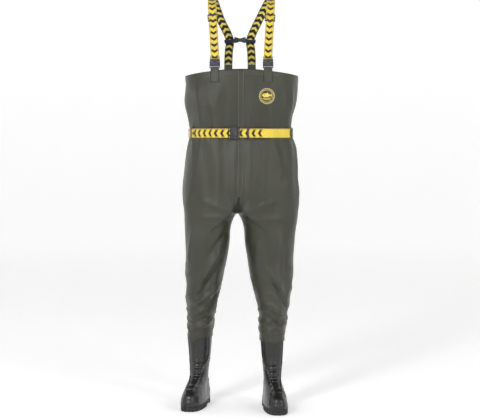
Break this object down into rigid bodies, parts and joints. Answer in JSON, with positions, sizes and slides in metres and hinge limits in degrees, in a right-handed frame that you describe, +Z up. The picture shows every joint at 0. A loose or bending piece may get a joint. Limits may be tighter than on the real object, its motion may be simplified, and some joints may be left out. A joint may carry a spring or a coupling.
{
  "type": "chest waders",
  "caption": "Chest-high fishing waders: coated-fabric suit with moulded boots, elastic braces with side-release buckles and a belted waist.",
  "frame": {"origin": "middle of the chest opening, at the height of the front hem", "axes": "+Z up along the suit, -Y the way the wearer faces, +X the wearer's left"},
  "size_m": [0.4936, 0.3958, 1.7047],
  "materials": {
    "olive_fabric": "matte",
    "olive_tape": "satin",
    "boot_rubber": "satin",
    "sole_rubber": "matte",
    "insole_felt": "matte",
    "yellow_webbing": "matte",
    "buckle_plastic": "satin",
    "release_plastic": "satin",
    "emblem_print": "satin"
  },
  "bodies": {
    "torso": {"left_body_panel": "olive_fabric", "right_body_panel": "olive_fabric", "top_hem": "olive_fabric", "left_hip_fabric": "olive_fabric", "right_hip_fabric": "olive_fabric", "left_belt_loop": "olive_fabric", "right_belt_loop": "olive_fabric", "back_belt_loop": "olive_fabric", "front_seam_tape": "olive_tape", "back_seam_tape": "olive_tape", "crotch_gusset": "olive_tape", "left_front_tab": "olive_tape", "right_front_tab": "olive_tape", "left_back_tab": "olive_tape", "right_back_tab": "olive_tape", "chest_emblem": "emblem_print", "belt_webbing": "yellow_webbing", "belt_elastic_front": "yellow_webbing", "belt_buckle_socket": "buckle_plastic", "left_buckle_socket": "buckle_plastic", "right_buckle_socket": "buckle_plastic"},
    "harness": {"left_strap": "yellow_webbing", "right_strap": "yellow_webbing", "back_crosspiece": "buckle_plastic", "left_buckle_prong": "buckle_plastic", "right_buckle_prong": "buckle_plastic"},
    "belt_prong": {"belt_buckle_prong": "buckle_plastic"},
    "belt_slider_body": {"belt_slider": "buckle_plastic"},
    "left_strap_slider_body": {"left_strap_slider": "buckle_plastic"},
    "right_strap_slider_body": {"right_strap_slider": "buckle_plastic"},
    "left_arm_a": {"left_buckle_arm_a": "release_plastic"},
    "left_arm_b": {"left_buckle_arm_b": "release_plastic"},
    "right_arm_a": {"right_buckle_arm_a": "release_plastic"},
    "right_arm_b": {"right_buckle_arm_b": "release_plastic"},
    "belt_arm_a": {"belt_buckle_arm_a": "release_plastic"},
    "belt_arm_b": {"belt_buckle_arm_b": "release_plastic"},
    "left_thigh": {"left_thigh_fabric": "olive_fabric", "left_knee_fabric": "olive_fabric"},
    "left_shin": {"left_shin_fabric": "olive_fabric", "left_boot_upper": "boot_rubber", "left_outsole": "sole_rubber", "left_insole": "insole_felt", "left_heel_guard": "sole_rubber"},
    "right_thigh": {"right_thigh_fabric": "olive_fabric", "right_knee_fabric": "olive_fabric"},
    "right_shin": {"right_shin_fabric": "olive_fabric", "right_boot_upper": "boot_rubber", "right_outsole": "sole_rubber", "right_insole": "insole_felt", "right_heel_guard": "sole_rubber"}
  },
  "joints": [
    {"name": "braces_fold_back", "type": "hinge", "parent": "torso", "child": "harness", "pos_m": [-0.006, 0.133, 0.0342], "axis": [-1, 0, 0], "range_deg": [0, 160]},
    {"name": "left_strap_adjust", "type": "slide", "parent": "harness", "child": "left_strap_slider_body", "axis": [0.0556, 0.2474, 0.9673], "range_m": [-0.05, 0]},
    {"name": "right_strap_adjust", "type": "slide", "parent": "harness", "child": "right_strap_slider_body", "axis": [-0.0556, 0.2474, 0.9673], "range_m": [-0.05, 0]},
    {"name": "belt_release", "type": "slide", "parent": "torso", "child": "belt_prong", "axis": [-1, 0, 0], "range_m": [0, 0.03], "deforming": ["belt_elastic_front"]},
    {"name": "belt_adjust", "type": "slide", "parent": "torso", "child": "belt_slider_body", "axis": [1, 0, 0], "range_m": [-0.014, 0.026]},
    {"name": "left_squeeze_a", "type": "hinge", "parent": "harness", "child": "left_arm_a", "pos_m": [0.1242, -0.1295, 0.034], "axis": [0, 1, 0], "range_deg": [0, 6], "stiffness_Nm_per_rad": 0.02},
    {"name": "left_squeeze_b", "type": "hinge", "parent": "harness", "child": "left_arm_b", "pos_m": [0.0938, -0.1295, 0.034], "axis": [0, 1, 0], "range_deg": [-6, 0], "stiffness_Nm_per_rad": 0.02},
    {"name": "right_squeeze_a", "type": "hinge", "parent": "harness", "child": "right_arm_a", "pos_m": [-0.0938, -0.1295, 0.034], "axis": [0, 1, 0], "range_deg": [0, 6], "stiffness_Nm_per_rad": 0.02},
    {"name": "right_squeeze_b", "type": "hinge", "parent": "harness", "child": "right_arm_b", "pos_m": [-0.1242, -0.1295, 0.034], "axis": [0, 1, 0], "range_deg": [-6, 0], "stiffness_Nm_per_rad": 0.02},
    {"name": "belt_squeeze_a", "type": "hinge", "parent": "belt_prong", "child": "belt_arm_a", "pos_m": [-0.034, -0.1339, -0.2413], "axis": [0, 1, 0], "range_deg": [0, 6], "stiffness_Nm_per_rad": 0.02},
    {"name": "belt_squeeze_b", "type": "hinge", "parent": "belt_prong", "child": "belt_arm_b", "pos_m": [-0.034, -0.1339, -0.2767], "axis": [0, 1, 0], "range_deg": [-6, 0], "stiffness_Nm_per_rad": 0.02},
    {"name": "left_hip", "type": "hinge", "parent": "torso", "child": "left_thigh", "pos_m": [0.118, 0, -0.584], "axis": [-1, 0, 0], "range_deg": [0, 60], "deforming": ["left_hip_fabric"]},
    {"name": "left_knee", "type": "hinge", "parent": "left_thigh", "child": "left_shin", "pos_m": [0.13, -0.1, -0.924], "axis": [1, 0, 0], "range_deg": [0, 80], "deforming": ["left_knee_fabric"]},
    {"name": "right_hip", "type": "hinge", "parent": "torso", "child": "right_thigh", "pos_m": [-0.144, 0, -0.584], "axis": [-1, 0, 0], "range_deg": [0, 60], "deforming": ["right_hip_fabric"]},
    {"name": "right_knee", "type": "hinge", "parent": "right_thigh", "child": "right_shin", "pos_m": [-0.164, -0.034, -0.924], "axis": [1, 0, 0], "range_deg": [0, 80], "deforming": ["right_knee_fabric"]}
  ],
  "couplings": [
    {"joint": "left_squeeze_b", "follows": "left_squeeze_a", "ratio": -1},
    {"joint": "right_squeeze_b", "follows": "right_squeeze_a", "ratio": -1},
    {"joint": "belt_squeeze_b", "follows": "belt_squeeze_a", "ratio": -1}
  ]
}
